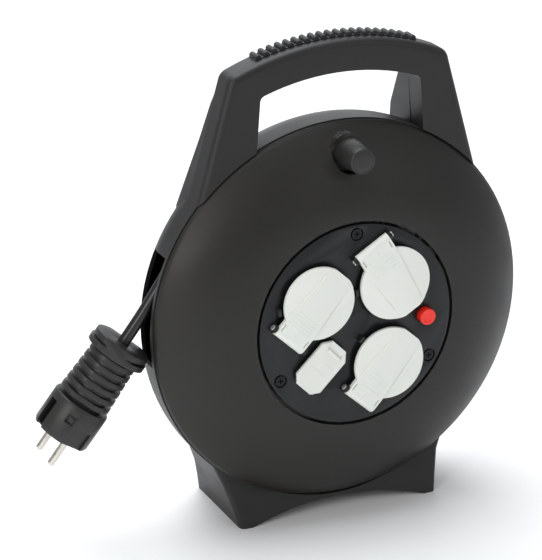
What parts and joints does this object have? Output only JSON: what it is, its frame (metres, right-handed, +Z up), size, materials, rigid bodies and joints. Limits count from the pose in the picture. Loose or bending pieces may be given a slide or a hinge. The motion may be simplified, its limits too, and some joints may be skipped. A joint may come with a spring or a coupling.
{
  "type": "cable reel",
  "caption": "Extension cable reel with a domed turning socket drum and crank knob in a stand with a carrying handle.",
  "frame": {"origin": "on the ground under the middle of the object's box, leaving out the lead and its plug", "axes": "+Z up, sockets and crank knob face -Y, +X to the right of a person who faces the sockets"},
  "size_m": [0.3324, 0.1036, 0.3279],
  "materials": {
    "casing": "fine moulded texture, near black",
    "grip": "matt, ribbed",
    "disc": "eroded texture, warm near black",
    "panel": "fine texture, black",
    "drum": "plain moulded black",
    "knob": "smooth satin black",
    "lids": "satin light grey",
    "gaskets": "soft black",
    "button": "glossy red",
    "bush": "natural acetal",
    "breaker": "moulded",
    "cable": "black cable sheath",
    "wires": "insulated cores",
    "plug": "black moulded rubber, satin",
    "pins": "nickel plated",
    "steel": "zinc plated",
    "black_screws": "black oxide",
    "brass": "stamped brass",
    "earth_metal": "spring strip"
  },
  "bodies": {
    "stand": {"rear_shell": "casing", "front_frame": "casing", "handle_grip": "grip", "axle": "steel", "axle_screws": "steel", "axle_washer": "steel", "axle_screw": "steel", "casing_screws": "steel", "cable_lead": "cable", "plug_grip": "plug", "plug_body": "plug", "plug_pins": "pins", "plug_earth_clips": "earth_metal"},
    "drum": {"front_disc": "disc", "drum_core": "drum", "rear_flange": "drum", "drum_screws": "steel", "hub_bush": "bush", "cable_winding": "cable", "inner_lead": "cable", "inner_wires": "wires", "cable_clamp": "drum", "clamp_screws": "steel", "socket_panel": "panel", "panel_screws": "black_screws", "insert_left": "panel", "insert_upper": "panel", "insert_lower": "panel", "euro_insert": "panel", "contact_sleeves": "brass", "earth_clips": "earth_metal", "busbar_live": "brass", "busbar_neutral": "brass", "busbar_earth": "brass", "lid_pins": "pins", "lid_spring_left": "steel", "lid_spring_upper": "steel", "lid_spring_lower": "steel", "breaker_body": "breaker", "button_spring": "steel", "knob_spindle": "steel"},
    "knob": {"crank_knob": "knob", "knob_cap": "knob"},
    "left_lid": {"lid_left": "lids", "gasket_left": "gaskets"},
    "upper_lid": {"lid_upper": "lids", "gasket_upper": "gaskets"},
    "lower_lid": {"lid_lower": "lids", "gasket_lower": "gaskets"},
    "small_lid": {"euro_lid": "lids"},
    "button": {"reset_button": "button"}
  },
  "joints": [
    {"name": "drum_spin", "type": "hinge", "parent": "stand", "child": "drum", "pos_m": [0, -0.00725, 0.142], "axis": [0, -1, 0], "continuous": true},
    {"name": "knob_spin", "type": "hinge", "parent": "drum", "child": "knob", "pos_m": [0, -0.03725, 0.2545], "axis": [0, -1, 0], "continuous": true},
    {"name": "left_lid_hinge", "type": "hinge", "parent": "drum", "child": "left_lid", "pos_m": [-0.04896, -0.04705, 0.14056], "axis": [0.7314, 0, -0.682], "range_deg": [0, 95], "stiffness_Nm_per_rad": 0.01, "springref_deg": -34.38},
    {"name": "upper_lid_hinge", "type": "hinge", "parent": "drum", "child": "upper_lid", "pos_m": [0.00962, -0.04705, 0.19358], "axis": [-0.8526, 0, -0.5225], "range_deg": [0, 95], "stiffness_Nm_per_rad": 0.01, "springref_deg": -34.38},
    {"name": "lower_lid_hinge", "type": "hinge", "parent": "drum", "child": "lower_lid", "pos_m": [0.00173, -0.04705, 0.09081], "axis": [0.7431, 0, -0.6691], "range_deg": [0, 95], "stiffness_Nm_per_rad": 0.01, "springref_deg": -34.38},
    {"name": "small_lid_hinge", "type": "hinge", "parent": "drum", "child": "small_lid", "pos_m": [-0.03721, -0.04585, 0.10569], "axis": [0.7071, 0, -0.7071], "range_deg": [0, 95], "stiffness_Nm_per_rad": 0.004, "springref_deg": -34.38},
    {"name": "button_press", "type": "slide", "parent": "drum", "child": "button", "axis": [0, 1, 0], "range_m": [0, 0.0024], "stiffness_N_per_m": 800, "springref_m": -0.002, "deforming": ["button_spring"]}
  ]
}
